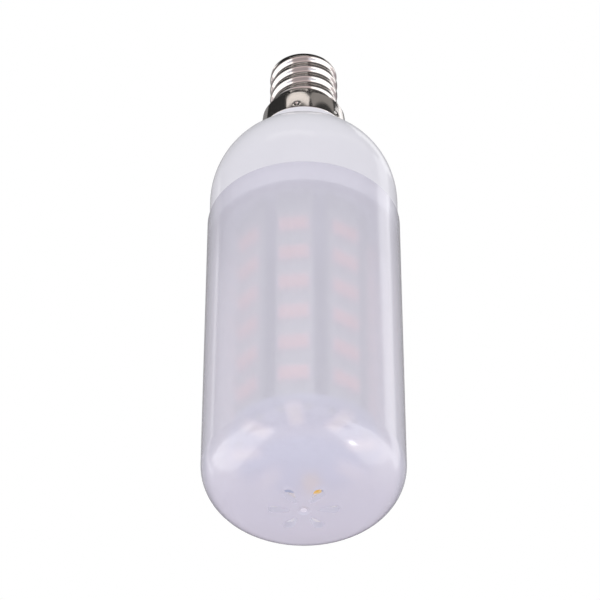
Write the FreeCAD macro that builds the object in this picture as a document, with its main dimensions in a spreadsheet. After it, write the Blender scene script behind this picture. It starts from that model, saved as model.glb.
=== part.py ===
import FreeCAD, Part
import math
import os

import Sketcher

# Corn LED bulb with a small screw cap, in millimetres.
# The axis of the bulb is Z, with the cap up. The origin is on the axis, where the thread meets the collar.
# The first LED strip faces -Y, and the strips are counted anticlockwise, seen from the cap.

# Driving sizes: lengths in mm, turns in degrees, and counts
SIZES = {
    # Screw cap
    "thread_radius": 6.945,
    "thread_length": 10.9,
    "thread_depth": 0.8,
    "shell_wall": 0.3,
    "shell_top_chamfer": 0.7,
    "shell_lip_radius": 4.9,
    "collar_radius": 8.55,
    "collar_top_radius": 8.25,
    "collar_height": 4.64,
    "collar_shoulder": 0.9,
    "insulator_flange": 1.7,
    "insulator_rise": 2.7,
    "insulator_top_radius": 3.3,
    "contact_radius": 2.5,
    "contact_rise": 1.0,
    # Housing
    "seam_drop": 29.8,
    "housing_straight": 5.64,
    "housing_wall": 1.6,
    "cover_overhang": 0.35,
    "spigot_length": 4.8,
    "neck_bore_radius": 4.3,
    "rib_count": 4,
    "rib_width": 1.6,
    "rib_reach": 1.7,
    # Cover
    "cover_radius": 18.8,
    "cover_wall": 1.2,
    "cover_length": 68.5,
    "knuckle_radius": 8.5,
    "crown_radius": 45.0,
    "vent_count": 6,
    "vent_turn": 8.0,
    "vent_inner_reach": 3.0,
    "vent_inner_round": 0.4,
    "vent_outer_reach": 5.5,
    "vent_outer_round": 1.05,
    # LED barrel
    "strip_count": 8,
    "strip_apothem": 12.3,
    "strip_width": 6.9,
    "strip_thickness": 1.0,
    "tab_offset": 2.45,
    "tab_width": 1.4,
    "row_count": 6,
    "first_row_margin": 8.5,
    "last_row_margin": 6.05,
    "base_board_drop": 31.2,
    "base_board_thickness": 1.2,
    "end_board_thickness": 1.0,
    "end_board_edge": 0.75,
    "end_ring_radius": 10.7,
    "end_gap": 12.25,
    "led_length": 5.7,
    "led_width": 3.0,
    "led_height": 0.84,
    "phosphor_length": 4.7,
    "phosphor_width": 2.2,
    "phosphor_height": 0.06,
    # Driver
    "film_length": 13.0,
    "film_width": 6.0,
    "film_height": 12.0,
    "film_chamfer": 0.5,
    "film_place": 5.0,
    "can_radius": 4.0,
    "can_height": 12.0,
    "can_place_x": -6.8,
    "can_place_y": -5.0,
    "bridge_length": 8.5,
    "bridge_width": 6.4,
    "bridge_height": 3.3,
    "bridge_slope": 0.5,
    "bridge_place_x": 5.6,
    "bridge_place_y": -4.4,
    "fuse_radius": 1.6,
    "fuse_length": 9.0,
    "fuse_place_y": -10.0,
    "bleed_length": 3.2,
    "bleed_width": 1.6,
    "bleed_height": 0.6,
    "bleed_place_y": 11.0,
    # Wires
    "wire_radius": 0.6,
    "neutral_reach": 6.6,
    # Clearances between fitted pieces
    "plug_clearance": 0.15,
    "neck_clearance": 0.05,
    "lip_clearance": 0.1,
    "spigot_clearance": 0.1,
    "board_clearance": 0.2,
    "tab_clearance": 0.1,
    "wire_clearance": 0.1,
}

doc = FreeCAD.newDocument("corn_led_bulb")
dims = doc.addObject("Spreadsheet::Sheet", "dims")
for row, (alias, size) in enumerate(SIZES.items(), start=1):
    dims.set(f"A{row}", alias)
    dims.set(f"B{row}", str(size))
    dims.setAlias(f"B{row}", alias)
doc.recompute()

nodes = []


# Heights along the axis, as expressions on the sheet

shell_top_z = "(dims.thread_length + dims.shell_top_chamfer)"
lip_under_z = f"({shell_top_z} - dims.shell_wall)"
neck_top_z = f"({lip_under_z} - dims.insulator_flange)"
insulator_top_z = f"({lip_under_z} + dims.insulator_rise)"
collar_top_z = "(-dims.collar_shoulder)"
collar_rim_z = f"({collar_top_z} - dims.collar_height)"
plug_top_z = f"({collar_top_z} - dims.shell_wall / 2 - dims.plug_clearance)"
seam_z = "(-dims.seam_drop)"
housing_dome_z = f"({seam_z} + dims.housing_straight)"
spigot_end_z = f"({seam_z} - dims.spigot_length)"
apex_z = f"({seam_z} - dims.cover_length)"
base_top_z = "(-dims.base_board_drop)"
base_under_z = f"({base_top_z} - dims.base_board_thickness)"
end_leds_z = f"({apex_z} + dims.cover_wall + dims.end_gap + dims.phosphor_height)"
end_under_z = f"({end_leds_z} + dims.led_height)"
end_top_z = f"({end_under_z} + dims.end_board_thickness)"

# Radii and spacings that follow from the driving sizes

shell_inner_radius = "(dims.thread_radius - dims.shell_wall)"
shell_flat_radius = "(dims.thread_radius - dims.shell_top_chamfer)"
neck_radius = f"({shell_inner_radius} - dims.thread_depth - dims.neck_clearance)"
housing_radius = "(dims.cover_radius - dims.cover_overhang)"
housing_inner_radius = f"({housing_radius} - dims.housing_wall)"
cover_inner_radius = "(dims.cover_radius - dims.cover_wall)"
spigot_radius = f"({cover_inner_radius} - dims.spigot_clearance)"
spigot_inner_radius = f"({spigot_radius} - dims.housing_wall)"
base_board_radius = f"({spigot_inner_radius} - dims.board_clearance)"
end_board_radius = "(dims.end_ring_radius + dims.led_length / 2 + dims.end_board_edge)"
strip_inner_face = "(dims.strip_apothem - dims.strip_thickness)"
tab_inner = "(dims.tab_offset - dims.tab_width / 2)"
tab_outer = "(dims.tab_offset + dims.tab_width / 2)"
first_row_z = f"({base_under_z} - dims.first_row_margin)"
last_row_z = f"({end_top_z} + dims.last_row_margin)"
wire_hole_radius = "(dims.wire_radius + dims.wire_clearance)"


# Sketch and feature helpers

def value(expression):
    return float(dims.evalExpression(expression))


def new_body(label):
    body = doc.addObject("PartDesign::Body", label)
    body.Label = label
    nodes.append(body)
    return body


def origin_feature(body, role):
    return next(item for item in body.Origin.OriginFeatures if item.Role == role)


def sketch_on(body, name, role, offset="0"):
    sketch = body.newObject("Sketcher::SketchObject", name)
    sketch.AttachmentSupport = [(origin_feature(body, role), "")]
    sketch.MapMode = "FlatFace"
    sketch.setExpression("AttachmentOffset.Base.z", offset)
    return sketch


def bind(sketch, constraint, expression):
    index = sketch.addConstraint(constraint)
    sketch.setExpression(f"Constraints[{index}]", expression)


def arc_between(start, end, radius, turn, long_way=False):
    # From start to end, the shorter arc unless long_way: turn is 1 for anticlockwise and -1 for clockwise.
    chord = end - start
    rise = math.sqrt(max(radius ** 2 - (chord.Length / 2) ** 2, 0.0))
    left = FreeCAD.Vector(-chord.y, chord.x, 0).normalize()
    side = -turn if long_way else turn
    centre = (start + end) / 2 + left * rise * side
    first, last = (start, end) if turn > 0 else (end, start)
    first_angle = math.atan2(first.y - centre.y, first.x - centre.x)
    last_angle = math.atan2(last.y - centre.y, last.x - centre.x)
    circle = Part.Circle(centre, FreeCAD.Vector(0, 0, 1), radius)
    return Part.ArcOfCircle(circle, first_angle, last_angle)


def place_point(sketch, geometry, end, x, y):
    for kind, axis, expression in (("DistanceX", -2, x), ("DistanceY", -1, y)):
        if expression == "0":
            sketch.addConstraint(Sketcher.Constraint("PointOnObject", geometry, end, axis))
        else:
            size = value(expression)
            bind(sketch, Sketcher.Constraint(kind, -1, 1, geometry, end, size), expression)


def draw(sketch, corners):
    # A closed outline. A corner is (x, y), or (x, y, radius, turn, ...) where an arc runs to the next corner.
    points = [FreeCAD.Vector(value(corner[0]), value(corner[1]), 0) for corner in corners]
    ends = []
    for index, corner in enumerate(corners):
        start = points[index]
        end = points[(index + 1) % len(points)]
        if len(corner) == 2:
            sketch.addGeometry(Part.LineSegment(start, end), False)
            ends.append((1, 2))
            continue
        radius, turn, *long_way = corner[2:]
        geometry = sketch.addGeometry(arc_between(start, end, value(radius), turn, *long_way), False)
        bind(sketch, Sketcher.Constraint("Radius", geometry, value(radius)), radius)
        ends.append((1, 2) if turn > 0 else (2, 1))
    for index, corner in enumerate(corners):
        before = index - 1 if index else len(corners) - 1
        joint = Sketcher.Constraint("Coincident", before, ends[before][1], index, ends[index][0])
        sketch.addConstraint(joint)
        place_point(sketch, index, ends[index][0], *corner[:2])
    return sketch


def draw_circle(sketch, radius, x="0"):
    centre = FreeCAD.Vector(value(x), 0, 0)
    circle = Part.Circle(centre, FreeCAD.Vector(0, 0, 1), value(radius))
    geometry = sketch.addGeometry(circle, False)
    bind(sketch, Sketcher.Constraint("Radius", geometry, value(radius)), radius)
    place_point(sketch, geometry, 3, x, "0")
    return sketch


def rectangle(x_low, x_high, y_low, y_high):
    return [(x_low, y_low), (x_high, y_low), (x_high, y_high), (x_low, y_high)]


def centred_rectangle(x, y, width, height):
    return rectangle(
        f"({x} - {width} / 2)", f"({x} + {width} / 2)", f"({y} - {height} / 2)", f"({y} + {height} / 2)"
    )


def revolve(body, corners):
    profile = draw(sketch_on(body, "profile", "XZ_Plane"), corners)
    turned = body.newObject("PartDesign::Revolution", "turned")
    turned.Profile = profile
    turned.ReferenceAxis = (profile, ["V_Axis"])
    turned.Angle = 360
    doc.recompute()
    return turned


def pad(body, sketch, length, reverse=False, midplane=False):
    block = body.newObject("PartDesign::Pad", "pad")
    block.Profile = sketch
    block.setExpression("Length", length)
    block.Reversed = reverse
    block.SideType = "Symmetric" if midplane else "One side"
    doc.recompute()
    return block


def pocket(body, sketch, length=None):
    before = body.Shape.Volume
    cut = body.newObject("PartDesign::Pocket", "pocket")
    cut.Profile = sketch
    if length is None:
        cut.Type = "ThroughAll"
    else:
        cut.setExpression("Length", length)
    doc.recompute()
    if not cut.Shape.Volume < before:
        raise RuntimeError(f"{body.Label}: a pocket cuts nothing")
    return cut


def repeat_round(body, features, count):
    pattern = body.newObject("PartDesign::PolarPattern", "ring")
    pattern.Originals = features
    pattern.Axis = (origin_feature(body, "Z_Axis"), [""])
    pattern.Angle = 360
    pattern.setExpression("Occurrences", count)
    body.Tip = pattern
    doc.recompute()


def repeat_down(body, features, sketch, length, count):
    pattern = body.newObject("PartDesign::LinearPattern", "row")
    pattern.Originals = features
    pattern.Direction = (sketch, ["V_Axis"])
    pattern.Reversed = True
    pattern.setExpression("Length", length)
    pattern.setExpression("Occurrences", count)
    body.Tip = pattern
    doc.recompute()


def turn_about_axis(body, angle):
    turn = FreeCAD.Rotation(FreeCAD.Vector(0, 0, 1), value(angle))
    body.Placement = FreeCAD.Placement(FreeCAD.Vector(), turn)
    body.setExpression("Placement.Rotation.Angle", angle)


def primitive(kind, label, sizes, x, y, z):
    solid = doc.addObject(kind, label)
    solid.Label = label
    for name, expression in sizes.items():
        solid.setExpression(name, expression)
    for name, expression in zip("xyz", (x, y, z)):
        solid.setExpression(f"Placement.Base.{name}", expression)
    nodes.append(solid)


# Screw cap

def make_screw_shell():
    wall = "dims.shell_wall"
    revolve(new_body("screw_shell"), [
        ("dims.collar_radius", collar_rim_z),
        ("dims.collar_top_radius", collar_top_z),
        ("dims.thread_radius", "0"),
        ("dims.thread_radius", "dims.thread_length"),
        (shell_flat_radius, shell_top_z),
        ("dims.shell_lip_radius", shell_top_z),
        ("dims.shell_lip_radius", lip_under_z),
        (shell_flat_radius, lip_under_z),
        (shell_inner_radius, "dims.thread_length"),
        (shell_inner_radius, f"(-{wall} / 2)"),
        (f"(dims.collar_top_radius - {wall})", f"({collar_top_z} - {wall} / 2)"),
        (f"(dims.collar_radius - {wall})", collar_rim_z),
    ])


def make_cap_insulator():
    flange = f"({shell_inner_radius} - dims.thread_depth - dims.lip_clearance)"
    revolve(new_body("cap_insulator"), [
        (wire_hole_radius, neck_top_z),
        (flange, neck_top_z),
        (flange, lip_under_z),
        ("(dims.shell_lip_radius - dims.lip_clearance)", lip_under_z),
        ("dims.insulator_top_radius", insulator_top_z),
        (wire_hole_radius, insulator_top_z),
    ])


def make_centre_contact():
    dome = "((dims.contact_radius^2 + dims.contact_rise^2) / (2 * dims.contact_rise))"
    revolve(new_body("centre_contact"), [
        ("0", insulator_top_z),
        ("dims.contact_radius", insulator_top_z, dome, 1),
        ("0", f"({insulator_top_z} + dims.contact_rise)"),
    ])


# Housing with its neck, its spigot for the cover, a wire hole beside the neck and board ribs

def make_housing():
    body = new_body("housing")
    plug_gap = "(dims.shell_wall + dims.plug_clearance)"
    ring_z = f"({housing_dome_z} + sqrt({housing_radius}^2 - dims.collar_radius^2))"
    bore_end_z = f"({housing_dome_z} + sqrt({housing_inner_radius}^2 - dims.neck_bore_radius^2))"
    step_z = f"({seam_z} + dims.housing_wall)"
    revolve(body, [
        (spigot_radius, spigot_end_z),
        (spigot_radius, seam_z),
        (housing_radius, seam_z),
        (housing_radius, housing_dome_z, housing_radius, 1),
        ("dims.collar_radius", ring_z),
        ("dims.collar_radius", collar_rim_z),
        (f"(dims.collar_radius - {plug_gap})", collar_rim_z),
        (f"(dims.collar_top_radius - {plug_gap})", plug_top_z),
        (neck_radius, plug_top_z),
        (neck_radius, neck_top_z),
        ("dims.neck_bore_radius", neck_top_z),
        ("dims.neck_bore_radius", bore_end_z, housing_inner_radius, -1),
        (housing_inner_radius, housing_dome_z),
        (housing_inner_radius, step_z),
        (spigot_inner_radius, step_z),
        (spigot_inner_radius, spigot_end_z),
    ])
    wire_hole = sketch_on(body, "wire_hole", "XY_Plane")
    draw_circle(wire_hole, wire_hole_radius, "(-dims.neutral_reach)")
    pocket(body, wire_hole, f"(-{housing_dome_z})")
    rib = sketch_on(body, "rib", "XZ_Plane")
    draw(rib, rectangle(
        f"({spigot_inner_radius} - dims.rib_reach)",
        f"({spigot_inner_radius} + dims.housing_wall / 2)",
        base_top_z,
        step_z,
    ))
    repeat_round(body, [pad(body, rib, "dims.rib_width", midplane=True)], "dims.rib_count")


# Cover with a knuckle and crown end, and teardrop vents round the crown

def make_cover():
    body = new_body("cover")
    knuckle_run = "(dims.cover_radius - dims.knuckle_radius)"
    centre_reach = "(dims.crown_radius - dims.knuckle_radius)"
    centre_rise = f"sqrt({centre_reach}^2 - {knuckle_run}^2)"
    crown_centre_z = f"({apex_z} + dims.crown_radius)"
    knuckle_z = f"({crown_centre_z} - {centre_rise})"
    inner_crown = "(dims.crown_radius - dims.cover_wall)"
    inner_knuckle = "(dims.knuckle_radius - dims.cover_wall)"

    def tangent_point(crown):
        x = f"({crown} * {knuckle_run} / {centre_reach})"
        return x, f"({crown_centre_z} - {crown} * {centre_rise} / {centre_reach})"

    revolve(body, [
        ("0", apex_z, "dims.crown_radius", 1),
        (*tangent_point("dims.crown_radius"), "dims.knuckle_radius", 1),
        ("dims.cover_radius", knuckle_z),
        ("dims.cover_radius", seam_z),
        (cover_inner_radius, seam_z),
        (cover_inner_radius, knuckle_z, inner_knuckle, -1),
        (*tangent_point(inner_crown), inner_crown, -1),
        ("0", f"({apex_z} + dims.cover_wall)"),
    ])
    vent_reach = "(dims.vent_outer_reach - dims.vent_inner_reach)"
    lean = f"((dims.vent_outer_round - dims.vent_inner_round) / {vent_reach})"
    spread = f"sqrt(1 - {lean}^2)"
    inner_x = f"(dims.vent_inner_reach - dims.vent_inner_round * {lean})"
    inner_y = f"(dims.vent_inner_round * {spread})"
    outer_x = f"(dims.vent_outer_reach - dims.vent_outer_round * {lean})"
    outer_y = f"(dims.vent_outer_round * {spread})"
    vent = sketch_on(body, "vent", "XY_Plane")
    draw(vent, [
        (outer_x, outer_y),
        (inner_x, inner_y, "dims.vent_inner_round", 1),
        (inner_x, f"(-{inner_y})"),
        (outer_x, f"(-{outer_y})", "dims.vent_outer_round", 1, True),
    ])
    repeat_round(body, [pocket(body, vent)], "dims.vent_count")
    turn_about_axis(body, "dims.vent_turn")


# LED barrel: strips with tabs at both ends, and the boards that take the tabs

def strip_outline():
    half = "(dims.strip_width / 2)"

    def edge(shoulder_z, tab_z):
        # Half of one end, from the middle of the strip outwards
        return [
            (tab_inner, shoulder_z),
            (tab_inner, tab_z),
            (tab_outer, tab_z),
            (tab_outer, shoulder_z),
            (half, shoulder_z),
        ]

    def left(corners):
        return [(f"(-{x})", z) for x, z in corners]

    lower = edge(end_top_z, end_under_z)
    upper = edge(base_under_z, base_top_z)
    return left(lower)[::-1] + lower + upper[::-1] + left(upper)


def cut_tab_slots(body):
    slots = []
    reach = f"({strip_inner_face} - dims.tab_clearance)", "(dims.strip_apothem + dims.tab_clearance)"
    for side in ("1", "-1"):
        near = f"({side} * ({tab_inner} - dims.tab_clearance))"
        far = f"({side} * ({tab_outer} + dims.tab_clearance))"
        slot = sketch_on(body, "slot", "XY_Plane")
        draw(slot, rectangle(near, far, f"(-{reach[1]})", f"(-{reach[0]})"))
        slots.append(pocket(body, slot))
    repeat_round(body, slots, "dims.strip_count")


def make_board(label, radius, under_z, thickness):
    body = new_body(label)
    disc = draw_circle(sketch_on(body, "disc", "XY_Plane", under_z), radius)
    pad(body, disc, thickness)
    cut_tab_slots(body)


def make_strip(label, angle):
    body = new_body(label)
    outline = draw(sketch_on(body, "outline", "XZ_Plane", strip_inner_face), strip_outline())
    pad(body, outline, "dims.strip_thickness")
    turn_about_axis(body, angle)


def make_strip_row(label, angle, face, length, width, height):
    # One row of equal blocks down the outside of a strip
    body = new_body(label)
    block = sketch_on(body, "block", "XZ_Plane", face)
    draw(block, centred_rectangle("0", first_row_z, length, width))
    first = pad(body, block, height)
    repeat_down(body, [first], block, f"({first_row_z} - {last_row_z})", "dims.row_count")
    turn_about_axis(body, angle)


def make_end_ring(label, face, length, width, height):
    # One ring of equal blocks under the end board, each with its long side towards the axis
    body = new_body(label)
    block = sketch_on(body, "block", "XY_Plane", face)
    draw(block, centred_rectangle("0", "(-dims.end_ring_radius)", width, length))
    repeat_round(body, [pad(body, block, height, reverse=True)], "dims.strip_count")


def make_barrel():
    case = ("dims.led_length", "dims.led_width", "dims.led_height")
    phosphor = ("dims.phosphor_length", "dims.phosphor_width", "dims.phosphor_height")
    make_board("base_board", base_board_radius, base_under_z, "dims.base_board_thickness")
    make_board("end_board", end_board_radius, end_under_z, "dims.end_board_thickness")
    make_end_ring("end_leds", end_under_z, *case)
    make_end_ring("end_phosphor", end_leds_z, *phosphor)
    for number in range(1, int(value("dims.strip_count")) + 1):
        angle = f"(360 / dims.strip_count * {number - 1})"
        make_strip(f"led_strip_{number}", angle)
        make_strip_row(f"strip_leds_{number}", angle, "dims.strip_apothem", *case)
        make_strip_row(f"strip_phosphor_{number}", angle, "(dims.strip_apothem + dims.led_height)", *phosphor)


# Driver parts that stand on the base board, and the straight leads from the cap

def make_film_capacitor():
    body = new_body("film_capacitor")
    foot = sketch_on(body, "foot", "XY_Plane", base_top_z)
    draw(foot, centred_rectangle("0", "dims.film_place", "dims.film_length", "dims.film_width"))
    block = pad(body, foot, "dims.film_height")
    edges = enumerate(block.Shape.Edges, start=1)
    upright_length = value("dims.film_height") / 2
    upright = [f"Edge{index}" for index, edge in edges if edge.BoundBox.ZLength > upright_length]
    bevels = body.newObject("PartDesign::Chamfer", "bevels")
    bevels.Base = (block, upright)
    bevels.setExpression("Size", "dims.film_chamfer")


def make_bridge_rectifier():
    body = new_body("bridge_rectifier")
    middle = "dims.bridge_place_y"
    half = "dims.bridge_width / 2"
    top_z = f"({base_top_z} + dims.bridge_height)"
    waist_z = f"({base_top_z} + dims.bridge_height / 2)"
    section = sketch_on(body, "section", "YZ_Plane", "dims.bridge_place_x")
    draw(section, [
        (f"({middle} - {half} + dims.bridge_slope)", base_top_z),
        (f"({middle} + {half} - dims.bridge_slope)", base_top_z),
        (f"({middle} + {half})", waist_z),
        (f"({middle} + {half} - dims.bridge_slope)", top_z),
        (f"({middle} - {half} + dims.bridge_slope)", top_z),
        (f"({middle} - {half})", waist_z),
    ])
    pad(body, section, "dims.bridge_length", midplane=True)


def make_plain_driver_parts():
    can = {"Radius": "dims.can_radius", "Height": "dims.can_height"}
    can_place = "dims.can_place_x", "dims.can_place_y", base_top_z
    primitive("Part::Cylinder", "smoothing_capacitor", can, *can_place)
    fuse = {"Radius": "dims.fuse_radius", "Height": "dims.fuse_length"}
    primitive("Part::Cylinder", "fuse_resistor", fuse, "0", "dims.fuse_place_y", base_top_z)
    bleed = {"Length": "dims.bleed_length", "Width": "dims.bleed_width", "Height": "dims.bleed_height"}
    bleed_corner = "-dims.bleed_length / 2", "dims.bleed_place_y - dims.bleed_width / 2"
    primitive("Part::Box", "bleed_resistor", bleed, *bleed_corner, base_top_z)


def make_leads():
    # The live lead runs up the axis to the tip contact, the neutral lead to the shoulder of the shell.
    live = {"Radius": "dims.wire_radius", "Height": f"{insulator_top_z} - {base_top_z}"}
    primitive("Part::Cylinder", "live_wire", live, "0", "0", base_top_z)
    shoulder_slope = "dims.collar_shoulder / (dims.collar_top_radius - dims.thread_radius)"
    wire_edge = f"(dims.neutral_reach + {wire_hole_radius} - {shell_inner_radius})"
    shoulder_z = f"(-dims.shell_wall / 2 - {wire_edge} * {shoulder_slope})"
    neutral = {"Radius": "dims.wire_radius", "Height": f"{shoulder_z} - {base_top_z}"}
    primitive("Part::Cylinder", "neutral_wire", neutral, "-dims.neutral_reach", "0", base_top_z)


make_screw_shell()
make_cap_insulator()
make_centre_contact()
make_housing()
make_cover()
make_barrel()
make_film_capacitor()
make_bridge_rectifier()
make_plain_driver_parts()
make_leads()
doc.recompute()

for item in doc.Objects:
    if "Invalid" in item.State or "Error" in item.State:
        raise RuntimeError(f"{item.Label} failed: {item.State}")
for node in nodes:
    if node.Shape.isNull() or not node.Shape.isValid() or not node.Shape.Solids:
        raise RuntimeError(f"{node.Label} has no valid solid")

os.makedirs("parts", exist_ok=True)
for node in nodes:
    node.Shape.exportStep(os.path.join("parts", f"{node.Label}.step"))
print(f"{len(nodes)} nodes written")
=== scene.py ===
import math

import bpy
from mathutils import Matrix, Vector


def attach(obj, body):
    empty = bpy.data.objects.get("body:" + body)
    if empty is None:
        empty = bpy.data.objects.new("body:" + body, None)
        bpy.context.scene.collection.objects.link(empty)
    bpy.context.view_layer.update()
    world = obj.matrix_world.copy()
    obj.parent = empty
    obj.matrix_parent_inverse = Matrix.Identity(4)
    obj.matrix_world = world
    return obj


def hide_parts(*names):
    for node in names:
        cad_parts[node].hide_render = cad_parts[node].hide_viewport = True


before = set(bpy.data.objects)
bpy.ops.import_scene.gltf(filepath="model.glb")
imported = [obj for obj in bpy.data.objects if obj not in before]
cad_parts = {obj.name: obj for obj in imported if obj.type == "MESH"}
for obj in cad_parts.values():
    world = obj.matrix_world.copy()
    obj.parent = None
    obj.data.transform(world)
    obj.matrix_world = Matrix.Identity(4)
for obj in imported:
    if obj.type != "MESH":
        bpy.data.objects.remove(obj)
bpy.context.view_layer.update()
mm = 0.001  # sizes below are in millimetres, Blender works in metres
weld = 0.002 * mm  # points nearer to each other than this count as one
print("frame: loaded", len(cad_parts), "nodes")


# Small helpers for modelling

def clearSelection():
    bpy.ops.object.select_all(action="DESELECT")


def pick(piece):
    clearSelection()
    piece.select_set(True)
    bpy.context.view_layer.objects.active = piece


def editAll(piece):
    pick(piece)
    bpy.ops.object.mode_set(mode="EDIT")
    bpy.ops.mesh.select_all(action="SELECT")


def leaveEdit():
    bpy.ops.object.mode_set(mode="OBJECT")


def applyModifier(piece, kind, **settings):
    pick(piece)
    modifier = piece.modifiers.new(kind.lower(), kind)
    for setting, value in settings.items():
        setattr(modifier, setting, value)
    bpy.ops.object.modifier_apply(modifier=modifier.name)


def arcPoints(centre, radius, start, end, count):
    # start and end are angles from straight down, turning outwards
    points = []
    for step in range(count + 1):
        angle = start + (end - start) * step / count
        points.append((centre[0] + radius * math.sin(angle), centre[1] - radius * math.cos(angle)))
    return points


def roundOff(corners, finest=math.radians(10)):
    # each corner is (radius, height) and may have a rounding as its third number
    outline = []
    for index, corner in enumerate(corners):
        here = Vector(corner[:2])
        if len(corner) < 3:
            outline.append(tuple(here))
            continue
        before = (Vector(corners[index - 1][:2]) - here).normalized()
        after = (Vector(corners[(index + 1) % len(corners)][:2]) - here).normalized()
        half = before.angle(after) / 2
        centre = here + (before + after).normalized() * corner[2] / math.sin(half)
        reach = corner[2] / math.tan(half)
        start = here + before * reach - centre
        end = here + after * reach - centre
        first = math.atan2(start.y, start.x)
        turn = (math.atan2(end.y, end.x) - first + math.pi) % (2 * math.pi) - math.pi
        count = max(2, math.ceil(abs(turn) / finest))
        for step in range(count + 1):
            angle = first + turn * step / count
            outline.append((centre.x + corner[2] * math.cos(angle), centre.y + corner[2] * math.sin(angle)))
    return outline


def spinOutline(name, outline, segments):
    # a ring of vertices is laid on the section and spun round the bulb's axis
    clearSelection()
    bpy.ops.mesh.primitive_circle_add(vertices=len(outline), radius=mm, fill_type="NOTHING")
    piece = bpy.context.object
    piece.name = piece.data.name = name
    for vertex, (radius, height) in zip(piece.data.vertices, outline):
        vertex.co = (radius * mm, 0, height * mm)
    editAll(piece)
    bpy.ops.mesh.spin(steps=segments, angle=2 * math.pi, center=(0, 0, 0), axis=(0, 0, 1))
    bpy.ops.mesh.select_all(action="SELECT")
    bpy.ops.mesh.remove_doubles(threshold=weld)
    bpy.ops.mesh.delete_loose(use_verts=True, use_edges=True, use_faces=False)
    bpy.ops.mesh.select_all(action="SELECT")
    bpy.ops.mesh.normals_make_consistent(inside=False)
    leaveEdit()
    return piece


def selectFaces(piece, wanted):
    # called in edit mode, leaves only the wanted faces selected
    bpy.ops.mesh.select_mode(type="FACE")
    bpy.ops.mesh.select_all(action="DESELECT")
    leaveEdit()
    for face in piece.data.polygons:
        face.select = wanted(face)
    bpy.ops.object.mode_set(mode="EDIT")


def selectEdges(piece, wanted):
    # the same for edges, which are told by their two ends
    bpy.ops.mesh.select_mode(type="EDGE")
    bpy.ops.mesh.select_all(action="DESELECT")
    leaveEdit()
    for edge in piece.data.edges:
        ends = [piece.data.vertices[index].co for index in edge.vertices]
        edge.select = wanted(*ends)
    bpy.ops.object.mode_set(mode="EDIT")


def block(name, size, middle):
    # left in edit mode with all of it selected
    clearSelection()
    bpy.ops.mesh.primitive_cube_add(size=mm)
    piece = bpy.context.object
    piece.name = name
    editAll(piece)
    bpy.ops.transform.resize(value=size, center_override=(0, 0, 0))
    bpy.ops.transform.translate(value=[part * mm for part in middle])
    return piece


def joinInto(piece, others):
    pick(piece)
    for other in others:
        other.select_set(True)
    bpy.ops.object.join()


def copyTo(source, name, places):
    # one copy with its own mesh at each place, joined into one piece
    copies = []
    for place in places:
        copy = source.copy()
        copy.data = source.data.copy()
        copy.data.transform(place)
        bpy.context.scene.collection.objects.link(copy)
        copies.append(copy)
    joined = copies[0]
    joinInto(joined, copies[1:])
    joined.name = joined.data.name = name
    return joined


def finishPiece(piece, material, replaced, smooth=35):
    pick(piece)
    piece.data.materials.clear()
    piece.data.materials.append(material)
    bpy.ops.object.shade_smooth_by_angle(angle=math.radians(smooth))
    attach(piece, "root")
    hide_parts(*replaced)


# Finishes

def newFinish(name, settings):
    material = bpy.data.materials.new(name)
    material.use_nodes = True
    shader = material.node_tree.nodes["Principled BSDF"]
    for socket, value in settings.items():
        shader.inputs[socket].default_value = value
    return material, material.node_tree, shader


def paperFinish(name, colour):
    return newFinish(name, {"Base Color": (*colour, 1), "Roughness": 0.9})[0]


def objectNoise(tree, scale, detail=3.0, stretch=(1, 1, 1)):
    # noise that sits on the piece; scale is in features to the millimetre
    place = tree.nodes.new("ShaderNodeTexCoord")
    turn = tree.nodes.new("ShaderNodeMapping")
    turn.inputs["Scale"].default_value = stretch
    noise = tree.nodes.new("ShaderNodeTexNoise")
    noise.inputs["Scale"].default_value = scale / mm
    noise.inputs["Detail"].default_value = detail
    tree.links.new(place.outputs["Object"], turn.inputs["Vector"])
    tree.links.new(turn.outputs["Vector"], noise.inputs["Vector"])
    return noise.outputs["Fac"]


def mapTo(tree, source, low, high, start=0.3, stop=0.7):
    spread = tree.nodes.new("ShaderNodeMapRange")
    spread.inputs["From Min"].default_value = start
    spread.inputs["From Max"].default_value = stop
    spread.inputs["To Min"].default_value = low
    spread.inputs["To Max"].default_value = high
    tree.links.new(source, spread.inputs["Value"])
    return spread.outputs["Result"]


def blendColours(tree, source, first, second, start=0.35, stop=0.65):
    ramp = tree.nodes.new("ShaderNodeValToRGB")
    ramp.color_ramp.elements[0].position = start
    ramp.color_ramp.elements[0].color = (*first, 1)
    ramp.color_ramp.elements[1].position = stop
    ramp.color_ramp.elements[1].color = (*second, 1)
    tree.links.new(source, ramp.inputs["Fac"])
    return ramp.outputs["Color"]


def addGrain(tree, shader, source, depth, strength=0.5):
    bump = tree.nodes.new("ShaderNodeBump")
    bump.inputs["Strength"].default_value = strength
    bump.inputs["Distance"].default_value = depth * mm
    tree.links.new(source, bump.inputs["Height"])
    tree.links.new(bump.outputs["Normal"], shader.inputs["Normal"])


def mottledFinish(name, colours, roughness, patch, grain, depth, settings=None, stretch=(1, 1, 1)):
    material, tree, shader = newFinish(name, settings or {})
    broad = objectNoise(tree, patch, stretch=stretch)
    tree.links.new(blendColours(tree, broad, *colours), shader.inputs["Base Color"])
    tree.links.new(mapTo(tree, broad, *roughness), shader.inputs["Roughness"])
    addGrain(tree, shader, objectNoise(tree, grain, 2.0, stretch), depth)
    return material


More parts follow.
